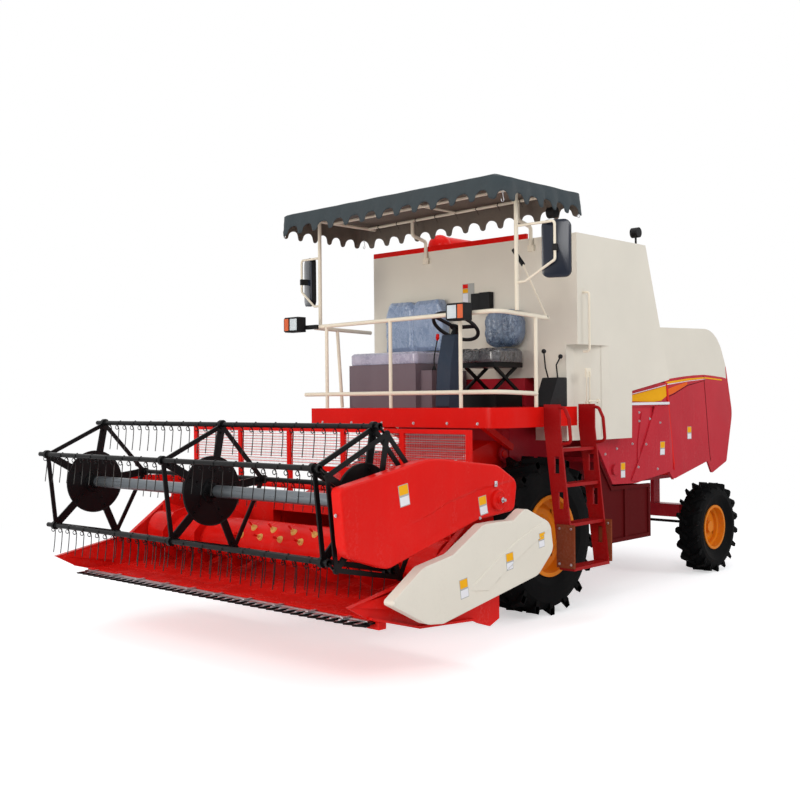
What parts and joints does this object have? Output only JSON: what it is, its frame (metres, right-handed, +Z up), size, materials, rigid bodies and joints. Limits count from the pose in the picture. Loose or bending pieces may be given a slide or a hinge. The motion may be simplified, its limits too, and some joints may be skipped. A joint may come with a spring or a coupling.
{
  "type": "combine harvester",
  "caption": "Self-propelled grain combine harvester with an open platform under a canopy, a rear hood and a front header with auger, knife and tined pick-up reel.",
  "frame": {"origin": "centre of the whole machine's bounding box, on the ground under the wheels", "axes": "+X to the machine's left, -Y the way it drives forward, +Z up"},
  "size_m": [3.38, 6.407, 3.385],
  "materials": {
    "tyre": "matt black rubber",
    "rim": "gloss orange paint",
    "red": "gloss red paint",
    "crimson": "gloss deep red paint",
    "cream": "gloss cream paint",
    "cream_tube": "gloss cream paint",
    "black_metal": "satin black paint",
    "black_plastic": "moulded black plastic",
    "grey_box": "satin grey paint",
    "slate": "slate plastic",
    "cloth": "woven slate fabric",
    "wrap": "blue-grey fabric under clear wrap",
    "steel": "bright steel",
    "lens": "clear ribbed lens",
    "orange_lens": "orange lens"
  },
  "bodies": {
    "chassis": {"body": "crimson", "front_axle": "crimson", "rear_axle": "crimson", "side_panels": "crimson", "lower_shields": "crimson", "grain_tank": "cream", "tank_rim": "crimson", "hood_top": "cream", "hood_sides": "crimson", "grain_elevator": "crimson", "deck": "red", "railing": "cream_tube", "canopy_frame": "cream_tube", "canopy": "cloth", "bench_box": "grey_box", "bench_cushion": "wrap", "bench_back": "wrap", "seat_base": "black_metal", "seat_cushion": "wrap", "seat_back": "wrap", "steering_column": "slate", "lever_console": "black_plastic", "mirror_arms": "cream_tube", "mirrors": "black_plastic", "lamp_housings": "black_plastic", "lamp_lenses": "lens", "indicator_lenses": "orange_lens", "ladder": "red"},
    "steering_wheel": {"steering_wheel": "black_plastic"},
    "front_wheel_left": {"front_tyre_left": "tyre", "front_rim_left": "rim"},
    "front_wheel_right": {"front_tyre_right": "tyre", "front_rim_right": "rim"},
    "rear_wheel_left": {"rear_tyre_left": "tyre", "rear_rim_left": "rim"},
    "rear_wheel_right": {"rear_tyre_right": "tyre", "rear_rim_right": "rim"},
    "knuckle_left": {"knuckle_left": "black_metal"},
    "knuckle_right": {"knuckle_right": "black_metal"},
    "tie_rod": {"tie_rod": "black_metal"},
    "unloader": {"unload_tube": "red"},
    "header": {"feeder": "red", "header_table": "red", "header_sides": "red", "header_screen": "red", "knife_guards": "black_metal", "drive_cover": "cream"},
    "lift_barrels": {"lift_barrels": "black_metal"},
    "lift_rods": {"lift_rods": "steel"},
    "knife": {"knife": "steel"},
    "auger": {"auger": "red"},
    "reel_arms": {"reel_arms": "red", "reel_cover": "red"},
    "reel": {"reel_frame": "black_metal"},
    "control_ring": {"control_ring": "black_metal"},
    "tine_bar_1": {"tine_bar_1": "black_metal"},
    "tine_bar_2": {"tine_bar_2": "black_metal"},
    "tine_bar_3": {"tine_bar_3": "black_metal"},
    "tine_bar_4": {"tine_bar_4": "black_metal"},
    "tine_bar_5": {"tine_bar_5": "black_metal"}
  },
  "joints": [
    {"name": "front_wheel_left_spin", "type": "hinge", "parent": "chassis", "child": "front_wheel_left", "pos_m": [0.685, -0.116, 0.6325], "axis": [1, 0, 0], "continuous": true},
    {"name": "steer_left", "type": "hinge", "parent": "chassis", "child": "knuckle_left", "pos_m": [0.54, 2.704, 0.44], "axis": [0, 0, 1], "range_deg": [-30, 30]},
    {"name": "rear_wheel_left_spin", "type": "hinge", "parent": "knuckle_left", "child": "rear_wheel_left", "pos_m": [0.765, 2.704, 0.44], "axis": [1, 0, 0], "continuous": true},
    {"name": "front_wheel_right_spin", "type": "hinge", "parent": "chassis", "child": "front_wheel_right", "pos_m": [-1.005, -0.116, 0.6325], "axis": [1, 0, 0], "continuous": true},
    {"name": "steer_right", "type": "hinge", "parent": "chassis", "child": "knuckle_right", "pos_m": [-0.86, 2.704, 0.44], "axis": [0, 0, 1], "range_deg": [-30, 30]},
    {"name": "rear_wheel_right_spin", "type": "hinge", "parent": "knuckle_right", "child": "rear_wheel_right", "pos_m": [-1.085, 2.704, 0.44], "axis": [1, 0, 0], "continuous": true},
    {"name": "tie_rod_turn", "type": "hinge", "parent": "knuckle_left", "child": "tie_rod", "pos_m": [0.54, 2.894, 0.44], "axis": [0, 0, 1], "range_deg": [-30, 30]},
    {"name": "steering_wheel_turn", "type": "hinge", "parent": "chassis", "child": "steering_wheel", "pos_m": [0.25, -0.556, 2.32], "axis": [0, 0.5299, 0.848], "range_deg": [-360, 360]},
    {"name": "unloader_swing", "type": "hinge", "parent": "chassis", "child": "unloader", "pos_m": [-1.06, 0.784, 3.09], "axis": [0, 0, 1], "range_deg": [0, 95]},
    {"name": "header_lift", "type": "hinge", "parent": "chassis", "child": "header", "pos_m": [-0.16, -0.196, 1.28], "axis": [-1, 0, 0], "range_deg": [-8, 12]},
    {"name": "lift_barrel_tilt", "type": "hinge", "parent": "chassis", "child": "lift_barrels", "pos_m": [-0.16, -0.266, 0.56], "axis": [-1, 0, 0], "range_deg": [-9, 13.5]},
    {"name": "lift_rod_slide", "type": "slide", "parent": "lift_barrels", "child": "lift_rods", "axis": [0, -0.9955, -0.0946], "range_m": [-0.11, 0.16]},
    {"name": "knife_stroke", "type": "slide", "parent": "header", "child": "knife", "axis": [1, 0, 0], "range_m": [-0.038, 0.038]},
    {"name": "auger_spin", "type": "hinge", "parent": "header", "child": "auger", "pos_m": [-0.16, -2.096, 0.7], "axis": [1, 0, 0], "continuous": true},
    {"name": "reel_lift", "type": "hinge", "parent": "header", "child": "reel_arms", "pos_m": [-0.16, -1.774, 1.087], "axis": [-1, 0, 0], "range_deg": [0, 20]},
    {"name": "reel_spin", "type": "hinge", "parent": "reel_arms", "child": "reel", "pos_m": [-0.16, -2.776, 1.13], "axis": [1, 0, 0], "continuous": true},
    {"name": "control_ring_spin", "type": "hinge", "parent": "reel_arms", "child": "control_ring", "pos_m": [-0.16, -2.732, 1.086], "axis": [1, 0, 0], "continuous": true},
    {"name": "tine_bar_1_turn", "type": "hinge", "parent": "reel", "child": "tine_bar_1", "pos_m": [-0.16, -2.68529, 1.57587], "axis": [1, 0, 0], "continuous": true},
    {"name": "tine_bar_2_turn", "type": "hinge", "parent": "reel", "child": "tine_bar_2", "pos_m": [-0.16, -3.17201, 1.35405], "axis": [1, 0, 0], "continuous": true},
    {"name": "tine_bar_3_turn", "type": "hinge", "parent": "reel", "child": "tine_bar_3", "pos_m": [-0.16, -3.11146, 0.82261], "axis": [1, 0, 0], "continuous": true},
    {"name": "tine_bar_4_turn", "type": "hinge", "parent": "reel", "child": "tine_bar_4", "pos_m": [-0.16, -2.58731, 0.71597], "axis": [1, 0, 0], "continuous": true},
    {"name": "tine_bar_5_turn", "type": "hinge", "parent": "reel", "child": "tine_bar_5", "pos_m": [-0.16, -2.32392, 1.18151], "axis": [1, 0, 0], "continuous": true}
  ],
  "couplings": [
    {"joint": "steer_right", "follows": "steer_left", "ratio": 1},
    {"joint": "tie_rod_turn", "follows": "steer_left", "ratio": -1},
    {"joint": "lift_barrel_tilt", "follows": "header_lift", "ratio": 1.1},
    {"joint": "lift_rod_slide", "follows": "header_lift", "m_per_rad": 0.714},
    {"joint": "control_ring_spin", "follows": "reel_spin", "ratio": 1},
    {"joint": "tine_bar_1_turn", "follows": "reel_spin", "ratio": -1},
    {"joint": "tine_bar_2_turn", "follows": "reel_spin", "ratio": -1},
    {"joint": "tine_bar_3_turn", "follows": "reel_spin", "ratio": -1},
    {"joint": "tine_bar_4_turn", "follows": "reel_spin", "ratio": -1},
    {"joint": "tine_bar_5_turn", "follows": "reel_spin", "ratio": -1}
  ]
}
